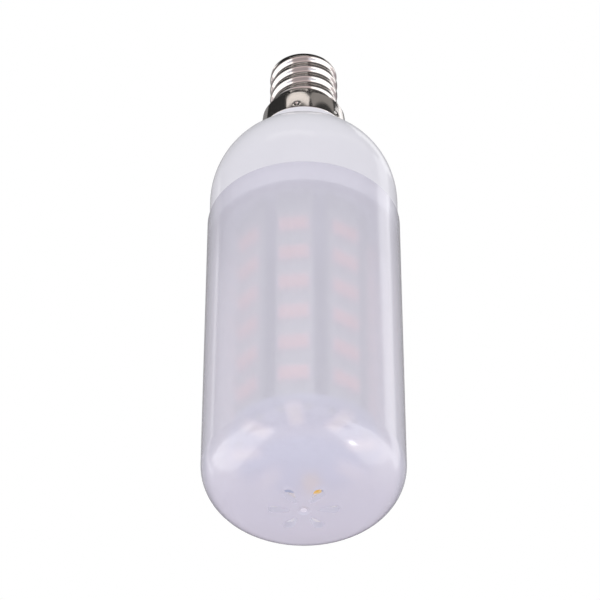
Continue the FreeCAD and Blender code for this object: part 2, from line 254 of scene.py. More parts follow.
# each finish has two colours that mottle, a least and most roughness, the patches and then the grains
# to the millimetre, the depth of the grain in millimetres, and settings of its own
nickelPlate = mottledFinish(
    "polishedNickel", ((0.80, 0.755, 0.73), (0.76, 0.72, 0.70)), (0.10, 0.15), 0.25, 3.0, 0.002,
    {"Metallic": 1.0})
blackGlass = mottledFinish(
    "capGlass", ((0.012, 0.011, 0.014), (0.02, 0.018, 0.022)), (0.14, 0.26), 0.5, 2.5, 0.01,
    {"Coat Weight": 0.4, "Coat Roughness": 0.06})
solderTin = mottledFinish(
    "solderTin", ((0.74, 0.74, 0.75), (0.62, 0.62, 0.64)), (0.22, 0.38), 0.9, 2.2, 0.012, {"Metallic": 1.0})
# painted shade: a darker grey copy of the housing plastic, for the lip under the cover
housingLipShade = mottledFinish(
    "housingLipShade", ((0.36, 0.355, 0.40), (0.34, 0.335, 0.38)), (0.35, 0.42), 0.2, 5.0, 0.0008,
    {"IOR": 1.5})
whiteHousing = mottledFinish(
    "housingPlastic", ((0.812, 0.807, 0.832), (0.802, 0.797, 0.822)), (0.12, 0.16), 0.12, 5.0, 0.0008,
    {"IOR": 1.42})
frostedCover = mottledFinish(
    "frostedCover", ((0.81, 0.795, 0.872), (0.80, 0.785, 0.862)), (0.23, 0.27), 0.2, 6.0, 0.001,
    {"Transmission Weight": 0.25, "IOR": 1.3,
     "Coat Weight": 1.0, "Coat Roughness": 0.14, "Coat IOR": 1.75})
coverInside = mottledFinish(
    "coverInside", ((0.99, 0.985, 0.98), (0.98, 0.975, 0.97)), (0.20, 0.24), 0.2, 6.0, 0.001,
    {"Transmission Weight": 1.0, "IOR": 1.3, "Specular IOR Level": 0.2})
# painted shade: a darker, solid copy of the cover's colour for the walls of the vents
ventWallShade = mottledFinish(
    "ventWallShade", ((0.66, 0.64, 0.72), (0.65, 0.63, 0.71)), (0.30, 0.36), 0.2, 6.0, 0.001, {"IOR": 1.3})
# painted highlight: a brighter, solid copy of the cover's colour for the gate nub
gateHighlight = mottledFinish(
    "gateHighlight", ((0.91, 0.87, 0.92), (0.90, 0.86, 0.91)), (0.24, 0.30), 0.2, 6.0, 0.001, {"IOR": 1.5})
# painted shade: the white strip boards are coloured dark grey-green, for the shade inside the cover
shadedWhiteBoard = mottledFinish(
    "shadedWhiteBoard", ((0.45, 0.48, 0.41), (0.43, 0.46, 0.39)), (0.35, 0.45), 0.6, 2.0, 0.01)
endBoardMask = mottledFinish(
    "endBoardMask", ((0.47, 0.51, 0.64), (0.45, 0.49, 0.62)), (0.35, 0.45), 0.6, 2.0, 0.01)
stripCase = mottledFinish(
    "stripCase", ((0.95, 0.60, 0.54), (0.93, 0.58, 0.52)), (0.35, 0.45), 0.8, 3.0, 0.01)
endCase = mottledFinish(
    "endCase", ((1.0, 0.90, 0.94), (0.98, 0.88, 0.92)), (0.35, 0.45), 0.8, 3.0, 0.01)
bareCase = mottledFinish(
    "bareCase", ((0.97, 0.68, 0.30), (0.95, 0.66, 0.28)), (0.35, 0.45), 0.8, 3.0, 0.01)
stripGel = mottledFinish(
    "stripGel", ((0.90, 0.42, 0.31), (0.88, 0.40, 0.29)), (0.30, 0.42), 1.5, 4.0, 0.02)
endGel = mottledFinish(
    "endGel", ((1.0, 0.87, 0.75), (0.98, 0.85, 0.73)), (0.30, 0.42), 1.5, 4.0, 0.02)
bareGel = mottledFinish(
    "bareGel", ((0.95, 0.58, 0.10), (0.93, 0.55, 0.09)), (0.30, 0.42), 1.5, 4.0, 0.02)
driverBoard = mottledFinish(
    "driverBoard", ((0.72, 0.74, 0.76), (0.68, 0.70, 0.73)), (0.35, 0.5), 0.6, 2.0, 0.01)
filmCase = mottledFinish(
    "filmCase", ((0.50, 0.05, 0.02), (0.44, 0.04, 0.02)), (0.25, 0.4), 0.4, 1.5, 0.03)
canSleeve = mottledFinish(
    "canSleeve", ((0.018, 0.020, 0.028), (0.026, 0.028, 0.036)), (0.28, 0.4), 0.5, 2.0, 0.01)
chipBlack = mottledFinish(
    "chipBlack", ((0.016, 0.016, 0.017), (0.024, 0.024, 0.025)), (0.45, 0.6), 1.0, 4.0, 0.02)
resistorBody = mottledFinish(
    "resistorBody", ((0.26, 0.44, 0.50), (0.22, 0.39, 0.45)), (0.3, 0.45), 0.7, 2.0, 0.02)
leadSleeve = mottledFinish(
    "leadSleeve", ((0.62, 0.03, 0.03), (0.56, 0.03, 0.03)), (0.35, 0.5), 0.8, 3.0, 0.01)
print("finishes: made", len(bpy.data.materials))


# Screw shell: collar, knuckle thread and turned-in lip

shellSizes = {
    "segments": 240,
    "rimRadius": 8.55, "rimZ": -5.54, "edgeRound": 0.1,
    "collarRadius": 8.25, "collarZ": -0.9, "collarRound": 0.32, "collarRows": 26, "collarBulge": 0.06,
    "crestRadius": 6.86, "rootRadius": 6.10, "pitch": 2.822, "plainDrop": 0.12,
    "crestZ": 2.1, "crestTurn": -82.0,  # a crest crosses this height at this turn from +X
    "threadFrom": 1.45, "threadTo": 10.75, "runOut": 0.75, "threadRows": 116,
    "footZ": 0.05, "footRound": 0.25, "topZ": 11.6, "topRound": 0.75, "lipRadius": 4.9,
    "wall": 0.28, "innerRadius": 5.83, "footDrop": 0.6, "bendDrop": 0.3,
    "dentCount": 6, "dentTurn": -91.5, "dentZ": -4.55, "dentRadius": 0.62, "dentDepth": 0.34,
    "longRise": 2.0,  # a stretch of the section that rises more than this gets rows
    "onSurface": 0.005,  # a point this near to a surface is on it
}


def threadRadius(angle, height, sizes):
    # two equal arcs make the wave of a knuckle thread, a right-hand one
    rise = sizes["pitch"] * (angle - math.radians(sizes["crestTurn"])) / (2 * math.pi)
    offset = (height - sizes["crestZ"] - rise) % sizes["pitch"]
    fromCrest = min(offset, sizes["pitch"] - offset)
    depth = sizes["crestRadius"] - sizes["rootRadius"]
    quarter = sizes["pitch"] / 4
    arc = (quarter ** 2 + (depth / 2) ** 2) / depth
    if fromCrest < quarter:
        wave = sizes["crestRadius"] - arc + math.sqrt(arc ** 2 - fromCrest ** 2)
    else:
        fromRoot = sizes["pitch"] / 2 - fromCrest
        wave = sizes["rootRadius"] + arc - math.sqrt(arc ** 2 - fromRoot ** 2)
    # at both ends the wave runs out into the plain wall
    ends = min(height - sizes["threadFrom"], sizes["threadTo"] - height) / sizes["runOut"]
    fade = min(1, max(0, ends + 0.5))
    fade = fade * fade * (3 - 2 * fade)
    plain = sizes["crestRadius"] - sizes["plainDrop"]
    return plain + (wave - plain) * fade


def dentDepth(angle, height, sizes):
    spacing = 2 * math.pi / sizes["dentCount"]
    turn = (angle - math.radians(sizes["dentTurn"]) + spacing / 2) % spacing - spacing / 2
    away = math.hypot(turn * sizes["rimRadius"], height - sizes["dentZ"]) / sizes["dentRadius"]
    return sizes["dentDepth"] * (1 - away ** 2) ** 2 if away < 1 else 0


def shellOutline(sizes):
    wall = sizes["wall"]
    plain = sizes["crestRadius"] - sizes["plainDrop"]
    corners = roundOff([
        (sizes["rimRadius"] - wall, sizes["rimZ"]),
        (sizes["rimRadius"], sizes["rimZ"], sizes["edgeRound"]),
        (sizes["collarRadius"], sizes["collarZ"], sizes["collarRound"]),
        (plain, sizes["footZ"], sizes["footRound"]),
        (plain, sizes["topZ"], sizes["topRound"]),
        (sizes["lipRadius"], sizes["topZ"], sizes["edgeRound"]),
        (sizes["lipRadius"], sizes["topZ"] - wall),
        (sizes["innerRadius"], sizes["topZ"] - wall),
        (sizes["innerRadius"], sizes["footZ"] - wall - sizes["footDrop"]),
        (sizes["collarRadius"] - wall, sizes["collarZ"] - wall - sizes["bendDrop"]),
    ])
    outline = []
    for here, following in zip(corners, corners[1:] + corners[:1]):
        # the collar and the threaded wall get close rows, so that they can be shaped
        rows = 1
        if following[1] - here[1] > sizes["longRise"]:
            rows = sizes["collarRows"] if here[1] < sizes["collarZ"] else sizes["threadRows"]
        for row in range(rows):
            outline.append(tuple(Vector(here).lerp(Vector(following), row / rows)))
    return outline


def makeShell(sizes):
    piece = spinOutline("screwShell", shellOutline(sizes), sizes["segments"])
    plain = sizes["crestRadius"] - sizes["plainDrop"]
    wallTop = sizes["topZ"] - sizes["topRound"]
    for vertex in piece.data.vertices:
        radius = math.hypot(vertex.co.x, vertex.co.y) / mm
        height = vertex.co.z / mm
        angle = math.atan2(vertex.co.y, vertex.co.x)
        onWall = abs(radius - plain) < sizes["onSurface"] and sizes["footZ"] < height < wallTop
        onCollar = radius > sizes["collarRadius"] - sizes["onSurface"] and height < sizes["collarZ"]
        if onWall:
            radius = threadRadius(angle, height, sizes)
        elif onCollar:
            share = (height - sizes["rimZ"]) / (sizes["collarZ"] - sizes["rimZ"])
            radius += 4 * sizes["collarBulge"] * share * (1 - share) - dentDepth(angle, height, sizes)
        if onWall or onCollar:
            vertex.co.x = radius * mm * math.cos(angle)
            vertex.co.y = radius * mm * math.sin(angle)
    finishPiece(piece, nickelPlate, ["screw_shell"], smooth=50)


makeShell(shellSizes)
print("screw shell: threaded")


# Cap insulator and centre contact

capEnd = {
    "segments": 96,
    "boreRadius": 0.72, "flangeRadius": 5.745, "flangeFrom": 9.62, "flangeTo": 11.28, "flangeRound": 0.15,
    "coneFoot": 4.8, "stepEdge": 4.68, "stepZ": 11.85, "stepRound": 0.18, "rootRound": 0.2,
    "stepRadius": 4.3, "stepTop": 11.93, "coneTop": 3.3, "topZ": 14.0, "topRound": 0.45,
    "contactRadius": 2.5, "contactFoot": 0.12, "rimRadius": 2.4, "rimZ": 14.42, "rimRound": 0.22,
    "shoulderRadius": 1.4, "shoulderZ": 14.7, "shoulderRound": 0.6,
    "blobRadius": 1.0, "blobEdge": 14.94, "blobRound": 0.3, "flatRadius": 0.575, "flatRound": 0.4,
    "blobZ": 15.0,
    "swellFrom": 14.52, "ovalSwell": 0.07, "ovalTurn": 0.6, "threeSwell": 0.04,
}


def makeInsulator(sizes):
    outline = roundOff([
        (sizes["boreRadius"], sizes["flangeFrom"]),
        (sizes["flangeRadius"], sizes["flangeFrom"], sizes["flangeRound"]),
        (sizes["flangeRadius"], sizes["flangeTo"], sizes["flangeRound"]),
        (sizes["coneFoot"], sizes["flangeTo"], sizes["rootRound"]),
        (sizes["stepEdge"], sizes["stepZ"], sizes["stepRound"]),
        (sizes["stepRadius"], sizes["stepTop"], sizes["rootRound"]),
        (sizes["coneTop"], sizes["topZ"], sizes["topRound"]),
        (sizes["boreRadius"], sizes["topZ"]),
    ])
    piece = spinOutline("capInsulator", outline, sizes["segments"])
    finishPiece(piece, blackGlass, ["cap_insulator"])


def makeContact(sizes):
    outline = roundOff([
        (0, sizes["topZ"]),
        (sizes["contactRadius"], sizes["topZ"], sizes["contactFoot"]),
        (sizes["rimRadius"], sizes["rimZ"], sizes["rimRound"]),
        (sizes["shoulderRadius"], sizes["shoulderZ"], sizes["shoulderRound"]),
        (sizes["blobRadius"], sizes["blobEdge"], sizes["blobRound"]),
        (sizes["flatRadius"], sizes["blobZ"], sizes["flatRound"]),
        (0, sizes["blobZ"]),
    ])
    piece = spinOutline("centreContact", outline, sizes["segments"])
    for vertex in piece.data.vertices:
        # the solder sets a little out of round
        if vertex.co.z > sizes["swellFrom"] * mm:
            angle = math.atan2(vertex.co.y, vertex.co.x)
            oval = sizes["ovalSwell"] * math.sin(2 * angle + sizes["ovalTurn"])
            swell = 1 + oval + sizes["threeSwell"] * math.sin(3 * angle)
            vertex.co.x *= swell
            vertex.co.y *= swell
    finishPiece(piece, solderTin, ["centre_contact"], smooth=50)


makeInsulator(capEnd)
makeContact(capEnd)
print("cap end: insulator and contact")


# Moulded housing

housingSizes = {
    "segments": 192, "shoulderRows": 56, "insideRows": 30,
    "neckRadius": 5.795, "neckTop": 9.6, "neckRound": 0.3, "boreRadius": 4.3,
    "ringRadius": 8.55, "ringTop": -5.54, "ringRound": 0.12,
    "creaseTurn": 0.6875, "creaseOut": 0.02, "creaseLift": 0.04,
    "plugRadius": 7.8, "plugLean": 0.25, "plugTop": -1.25, "plugRound": 0.2,
    "domeRadius": 18.45, "domeZ": -24.16, "seamZ": -29.8, "seamRound": 0.28, "seatRound": 0.05,
    "spigotRadius": 17.5, "spigotEnd": -34.6, "spigotRound": 0.3, "lipTop": -33.85, "wall": 1.6,
    "ribCount": 4, "ribWidth": 1.6, "ribReach": 1.7, "ribFoot": -31.2, "ribEdge": 0.15,
}


def makeRibs(sizes, mouthRadius, top):
    # each rib is rooted in the wall of the mouth
    reach = sizes["ribReach"] + sizes["wall"] / 2
    height = top - sizes["ribFoot"]
    middle = (mouthRadius - sizes["ribReach"] + reach / 2, 0, top - height / 2)
    ribs = []
    for count in range(sizes["ribCount"]):
        rib = block("rib", (reach, sizes["ribWidth"], height), middle)
        bpy.ops.mesh.bevel(offset=sizes["ribEdge"] * mm, segments=2)
        leaveEdit()
        rib.data.transform(Matrix.Rotation(2 * math.pi * count / sizes["ribCount"], 4, "Z"))
        ribs.append(rib)
    return ribs


def makeHousing(sizes):
    dome = sizes["domeRadius"]
    inner = dome - sizes["wall"]
    ringAngle = math.pi - math.asin(sizes["ringRadius"] / dome)
    boreAngle = math.pi - math.asin(sizes["boreRadius"] / inner)
    ringFoot = sizes["domeZ"] - dome * math.cos(ringAngle)
    boreFoot = sizes["domeZ"] - inner * math.cos(boreAngle)
    crease = ringAngle - math.radians(sizes["creaseTurn"])
    spigotInner = sizes["spigotRadius"] - sizes["wall"]
    stepZ = sizes["seamZ"] + sizes["wall"]
    centre = (0, sizes["domeZ"])
    below = roundOff([
        (spigotInner, sizes["spigotEnd"]),
        (sizes["spigotRadius"], sizes["spigotEnd"], sizes["spigotRound"]),
        (sizes["spigotRadius"], sizes["lipTop"]),
        (sizes["spigotRadius"], sizes["seamZ"], sizes["seatRound"]),
        (dome, sizes["seamZ"], sizes["seamRound"]),
        (dome, sizes["domeZ"]),
    ])
    shoulder = arcPoints(centre, dome, math.pi / 2, crease, sizes["shoulderRows"])
    ring = roundOff([
        shoulder[-1],
        (sizes["ringRadius"] + sizes["creaseOut"], ringFoot + sizes["creaseLift"], sizes["ringRound"]),
        (sizes["ringRadius"], sizes["ringTop"], sizes["ringRound"]),
        (sizes["plugRadius"], sizes["ringTop"]),
        (sizes["plugRadius"] - sizes["plugLean"], sizes["plugTop"], sizes["plugRound"]),
        (sizes["neckRadius"], sizes["plugTop"]),
        (sizes["neckRadius"], sizes["neckTop"], sizes["neckRound"]),
        (sizes["boreRadius"], sizes["neckTop"], sizes["neckRound"]),
        (sizes["boreRadius"], boreFoot),
    ])
    inside = arcPoints(centre, inner, boreAngle, math.pi / 2, sizes["insideRows"])
    mouth = [(inner, stepZ), (spigotInner, stepZ)]
    outline = below[:-1] + shoulder[:-1] + ring[1:-1] + inside + mouth
    piece = spinOutline("housing", outline, sizes["segments"])
    joinInto(piece, makeRibs(sizes, spigotInner, stepZ))
    finishPiece(piece, whiteHousing, ["housing"])
    # the lip under the cover gets a darker finish: painted shade for the shadow gap at the spigot's end
    piece.data.materials.append(housingLipShade)
    for face in piece.data.polygons:
        if face.center.z < sizes["lipTop"] * mm:
            face.material_index = 1


makeHousing(housingSizes)
print("housing: moulded")


# Frosted cover with its teardrop vents and gate mark

coverSizes = {
    "segments": 192,
    "radius": 18.8, "wall": 1.2, "rimZ": -29.8, "rimRound": 0.32, "rimInside": 0.15,
    "apexZ": -98.3, "knuckle": 8.5, "crown": 45.0,
    "crownRows": 44, "knuckleRows": 36, "innerRows": 20,
    "gateRadius": 0.6, "gateDome": 1.2, "gateRows": 6, "gateStep": 0.1, "gateDrop": 0.12,
    "gateRing": 1.2, "ringEdge": 0.12, "ringDrop": 0.072, "ringRound": 0.08,
    "ventCount": 6, "ventTurn": 8.0, "ventEdge": 0.14, "ventWeld": 0.01,
    "ventInner": 3.0, "ventInnerRound": 0.4, "ventInnerSteps": 6,
    "ventOuter": 5.5, "ventOuterRound": 1.05, "ventOuterSteps": 16, "cutterSpare": 1.0,
    # faces of the vents lie within these margins, and are told from the rest by how upright they are
    "gateSpare": 0.5, "ventSpare": 0.3, "lipLean": 0.5, "wallLean": 0.9,
    "insideFrom": -0.3,  # a face that points inwards by more than this is on the inside
}


def coverSide(sizes, offset, rows):
    # from the axis outwards along the crown and round the knuckle, up to the straight wall
    knuckleX = sizes["radius"] - sizes["knuckle"]
    reach = sizes["crown"] - sizes["knuckle"]
    crownZ = sizes["apexZ"] + sizes["crown"]
    knuckleZ = crownZ - math.sqrt(reach ** 2 - knuckleX ** 2)
    meet = math.asin(knuckleX / reach)
    crown = arcPoints((0, crownZ), sizes["crown"] - offset, 0, meet, rows[0])
    knuckle = arcPoints((knuckleX, knuckleZ), sizes["knuckle"] - offset, meet, math.pi / 2, rows[1])
    return crown + knuckle[1:]


def coverOutline(sizes):
    outer = coverSide(sizes, 0, (sizes["crownRows"], sizes["knuckleRows"]))
    inner = coverSide(sizes, sizes["wall"], (sizes["innerRows"], sizes["innerRows"]))
    crownZ = sizes["apexZ"] + sizes["crown"]
    ringZ = crownZ - math.sqrt(sizes["crown"] ** 2 - sizes["gateRing"] ** 2)
    nubEdge = math.asin(sizes["gateRadius"] / sizes["gateDome"])
    nubCentre = (0, sizes["apexZ"] + sizes["gateDome"])
    nub = arcPoints(nubCentre, sizes["gateDome"], 0, nubEdge, sizes["gateRows"])
    gate = nub + roundOff([
        (sizes["gateRadius"] + sizes["gateStep"], sizes["apexZ"] + sizes["gateDrop"]),
        (sizes["gateRing"] - sizes["ringEdge"], ringZ + sizes["ringDrop"], sizes["ringRound"]),
        (sizes["gateRing"], ringZ),
    ])
    crown = [point for point in outer if point[0] > sizes["gateRing"] + sizes["gateStep"]]
    rim = roundOff([
        outer[-1],
        (sizes["radius"], sizes["rimZ"], sizes["rimRound"]),
        (sizes["radius"] - sizes["wall"], sizes["rimZ"], sizes["rimInside"]),
        inner[-1],
    ])
    return gate + crown + rim[1:-1] + inner[::-1]


def ventEnd(middle, radius, towards, half, steps):
    # one round end of a vent, with half of its arc on each side of the angle it bulges towards
    points = []
    for step in range(steps + 1):
        angle = towards + half * (2 * step / steps - 1)
        points.append((middle + radius * math.cos(angle), radius * math.sin(angle)))
    return points


def makeVentCutter(sizes):
    span = sizes["ventOuter"] - sizes["ventInner"]
    lean = math.acos((sizes["ventOuterRound"] - sizes["ventInnerRound"]) / span)
    outline = ventEnd(
        sizes["ventOuter"], sizes["ventOuterRound"], 0, math.pi - lean, sizes["ventOuterSteps"])
    outline += ventEnd(
        sizes["ventInner"], sizes["ventInnerRound"], math.pi, lean, sizes["ventInnerSteps"])
    clearSelection()
    bpy.ops.mesh.primitive_circle_add(vertices=len(outline), radius=mm, fill_type="NGON")
    cutter = bpy.context.object
    for vertex, (x, y) in zip(cutter.data.vertices, outline):
        vertex.co = (x * mm, y * mm, (sizes["apexZ"] - sizes["cutterSpare"]) * mm)
    editAll(cutter)
    depth = sizes["wall"] + 2 * sizes["cutterSpare"]
    bpy.ops.mesh.extrude_region_move(TRANSFORM_OT_translate={"value": (0, 0, depth * mm)})
    bpy.ops.mesh.select_all(action="SELECT")
    bpy.ops.mesh.normals_make_consistent(inside=False)
    leaveEdit()
    turns = [math.radians(sizes["ventTurn"]) + 2 * math.pi * count / sizes["ventCount"]
             for count in range(sizes["ventCount"])]
    ring = copyTo(cutter, "ventCutter", [Matrix.Rotation(turn, 4, "Z") for turn in turns])
    bpy.data.objects.remove(cutter)
    return ring


def nearVents(face, sizes):
    nearest = sizes["gateRing"] + sizes["gateSpare"]
    farthest = sizes["ventOuter"] + sizes["ventOuterRound"] + sizes["ventSpare"]
    return nearest * mm < math.hypot(*face.center.xy) < farthest * mm


def softenVents(piece, sizes):
    # the lips of the vents are the edges where the crown meets an upright wall
    editAll(piece)
    bpy.ops.mesh.remove_doubles(threshold=sizes["ventWeld"] * mm)
    bpy.ops.mesh.select_mode(type="EDGE")
    bpy.ops.mesh.select_all(action="DESELECT")
    leaveEdit()
    upright = {}
    for face in piece.data.polygons:
        isWall = nearVents(face, sizes) and abs(face.normal.z) < sizes["lipLean"]
        for key in face.edge_keys:
            upright.setdefault(key, []).append(isWall)
    for edge in piece.data.edges:
        edge.select = sorted(upright.get(edge.key, [])) == [False, True]
    bpy.ops.object.mode_set(mode="EDIT")
    bpy.ops.mesh.bevel(offset=sizes["ventEdge"] * mm, segments=2, profile=0.5, clamp_overlap=True)
    leaveEdit()


def makeCover(sizes):
    piece = spinOutline("frostedCover", coverOutline(sizes), sizes["segments"])
    cutter = makeVentCutter(sizes)
    applyModifier(piece, "BOOLEAN", object=cutter, operation="DIFFERENCE", solver="EXACT")
    bpy.data.objects.remove(cutter)
    softenVents(piece, sizes)
    finishPiece(piece, frostedCover, ["cover"])
    for finish in (coverInside, ventWallShade, gateHighlight):
        piece.data.materials.append(finish)
    lowest = (sizes["apexZ"] + 2 * sizes["knuckle"]) * mm
    for face in piece.data.polygons:
        outwards = face.center - Vector((0, 0, max(face.center.z, lowest)))
        inward = face.normal.dot(outwards.normalized()) < sizes["insideFrom"]
        # the walls of the vents get the painted shade
        onVent = nearVents(face, sizes) and abs(face.normal.z) < sizes["wallLean"]
        # the gate nub gets the painted highlight
        onGate = not inward and math.hypot(*face.center.xy) < sizes["gateRadius"] * mm
        face.material_index = 3 if onGate else 2 if onVent else 1 if inward else 0
    # what is inside is lit as evenly as a frosted cover lights it
    piece.visible_diffuse = False
    piece.visible_shadow = False


makeCover(coverSizes)
print("cover: vented")


# LED packages: case, phosphor and solder, modelled once facing -Y on the XZ plane

ledSizes = {
    "length": 5.7, "width": 3.0, "height": 0.84, "wallWidth": 0.46, "recess": 0.16,
    "edge": 0.09, "notch": 0.5,
    "gelLength": 4.72, "gelWidth": 2.02, "gelTop": 0.88, "gelRound": 0.35,
    "gelSink": 0.02, "gelInset": 0.3, "gelCrown": 0.02,
    "padLength": 0.55, "padWidth": 2.3, "padHeight": 0.3, "padSlope": 0.2, "padEdge": 0.07,
    "apothem": 12.3, "firstRow": -40.9, "lastRow": -76.9, "rows": 6, "strips": 8,
    "endRadius": 10.7, "endBoardZ": -83.95, "bareFrom": 6.0,
}


def isFront(face):
    return face.normal.y < -0.9


def modelCase(sizes):
    size = (sizes["length"], sizes["height"], sizes["width"])
    piece = block("ledCase", size, (0, -sizes["height"] / 2, 0))
    cornerX = sizes["length"] / 2 * mm - weld
    cornerZ = sizes["width"] / 2 * mm - weld
    selectEdges(piece, lambda a, b: min(a.x, b.x) > cornerX and min(a.z, b.z) > cornerZ)
    bpy.ops.mesh.bevel(offset=sizes["notch"] * mm, segments=1)
    selectFaces(piece, isFront)
    bpy.ops.mesh.inset(thickness=sizes["wallWidth"] * mm)
    bpy.ops.transform.translate(value=(0, sizes["recess"] * mm, 0))
    leaveEdit()
    applyModifier(piece, "BEVEL", width=sizes["edge"] * mm, segments=2, limit_method="ANGLE")
    return piece


def modelGel(sizes):
    foot = sizes["height"] - sizes["recess"] - sizes["gelSink"]
    tall = sizes["gelTop"] - foot
    piece = block("ledGel", (sizes["gelLength"], tall, sizes["gelWidth"]), (0, -foot - tall / 2, 0))
    selectEdges(piece, lambda a, b: abs(a.y - b.y) > weld)
    bpy.ops.mesh.bevel(offset=sizes["gelRound"] * mm, segments=3)
    selectFaces(piece, isFront)
    bpy.ops.mesh.inset(thickness=sizes["gelInset"] * mm)
    bpy.ops.transform.translate(value=(0, -sizes["gelCrown"] * mm, 0))
    leaveEdit()
    return piece


def modelSolder(sizes):
    size = (sizes["padLength"], sizes["padHeight"], sizes["padWidth"])
    half = sizes["padHeight"] / 2
    pads = []
    for side in (-1, 1):
        place = side * (sizes["length"] + sizes["padLength"]) / 2
        pad = block("solderPads", size, (place, -half, 0))
        # the outer edge sinks, so that the solder slopes away from the case
        selectEdges(pad, lambda a, b: min(side * a.x, side * b.x) > abs(place) * mm
                    and max(a.y, b.y) < -half * mm)
        bpy.ops.transform.translate(value=(0, sizes["padSlope"] * mm, 0))
        bpy.ops.mesh.select_all(action="SELECT")
        bpy.ops.mesh.bevel(offset=sizes["padEdge"] * mm, segments=2)
        leaveEdit()
        pads.append(pad)
    joinInto(pads[0], pads[1:])
    return pads[0]


def ledGroups(sizes):
    # each group has the node of its cases, the node of its phosphor and the places of its LEDs
    count = sizes["strips"]
    turns = [Matrix.Rotation(2 * math.pi * step / count, 4, "Z") for step in range(count)]
    spacing = (sizes["firstRow"] - sizes["lastRow"]) / (sizes["rows"] - 1)
    heights = [sizes["firstRow"] - spacing * row for row in range(sizes["rows"])]
    rows = [Matrix.Translation((0, -sizes["apothem"] * mm, height * mm)) for height in heights]
    groups = {}
    for strip, turn in enumerate(turns, 1):
        places = [turn @ row for row in rows]
        groups[f"strip{strip}"] = (f"strip_leds_{strip}", f"strip_phosphor_{strip}", places)
    faceDown = Matrix.Rotation(math.pi / 2, 4, "Z") @ Matrix.Rotation(math.pi / 2, 4, "X")
    endPlace = Matrix.Translation((0, -sizes["endRadius"] * mm, sizes["endBoardZ"] * mm)) @ faceDown
    groups["end"] = ("end_leds", "end_phosphor", [turn @ endPlace for turn in turns])
    return groups


def makeLeds(sizes):
    models = {"Case": modelCase(sizes), "Gel": modelGel(sizes), "Solder": modelSolder(sizes)}
    stripFinishes = {"Case": stripCase, "Gel": stripGel, "Solder": solderTin}
    endFinishes = {"Case": endCase, "Gel": endGel, "Solder": solderTin}
    bareFinishes = {"Case": bareCase, "Gel": bareGel}  # the far one, seen bare through a vent
    for group, (caseNode, gelNode, places) in ledGroups(sizes).items():
        replaced = {"Case": [caseNode], "Gel": [gelNode], "Solder": []}
        finishes = endFinishes if group == "end" else stripFinishes
        for part, model in models.items():
            piece = copyTo(model, group + part, places)
            finishPiece(piece, finishes[part], replaced[part])
            if group == "end" and part in bareFinishes:
                piece.data.materials.append(bareFinishes[part])
                for face in piece.data.polygons:
                    far = face.center.y - abs(face.center.x) > sizes["bareFrom"] * mm
                    face.material_index = int(far)
    for model in models.values():
        bpy.data.objects.remove(model)


makeLeds(ledSizes)
print("LEDs: placed on the barrel")


# Finishes for the CAD pieces that stay

nodeFinishes = {
    "base_board": driverBoard, "end_board": endBoardMask,
    "film_capacitor": filmCase, "smoothing_capacitor": canSleeve, "bridge_rectifier": chipBlack,
    "fuse_resistor": resistorBody, "bleed_resistor": chipBlack,
    "live_wire": leadSleeve, "neutral_wire": leadSleeve,
}
# the strip boards take the painted shade
nodeFinishes.update({f"led_strip_{strip + 1}": shadedWhiteBoard for strip in range(ledSizes["strips"])})
for node, finish in nodeFinishes.items():
    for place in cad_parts[node].material_slots:
        place.material = finish
print("CAD pieces: finished", len(nodeFinishes))


# Camera, floor and studio light

shot = {
    "turn": 8.0, "below": 40.095, "aimZ": -48.7, "distance": 533.9,
    "lens": 167.4, "sensor": 36.0, "shiftX": -0.0062, "nearest": 10.0,
}


def fromCamera(right, away, up):
    # a point given as seen from the camera: right of the bulb, behind it, above it
    turn = math.radians(shot["turn"])
    return Vector((
        right * math.cos(turn) - away * math.sin(turn),
        right * math.sin(turn) + away * math.cos(turn),
        up)) * mm


def turnTo(thing, place, point, axis="-Z"):
    thing.rotation_euler = (point - place).to_track_quat(axis, "Y").to_euler()


def setCamera(sizes):
    below = math.radians(sizes["below"])
    aim = fromCamera(0, 0, sizes["aimZ"])
    place = aim - fromCamera(0, math.cos(below), math.sin(below)) * sizes["distance"]
    bpy.ops.object.camera_add(location=place)
    camera = bpy.context.object
    turnTo(camera, place, aim)
    camera.data.sensor_width = sizes["sensor"]
    camera.data.lens = sizes["lens"]
    camera.data.shift_x = sizes["shiftX"]
    camera.data.clip_start = sizes["nearest"] * mm
    bpy.context.scene.camera = camera


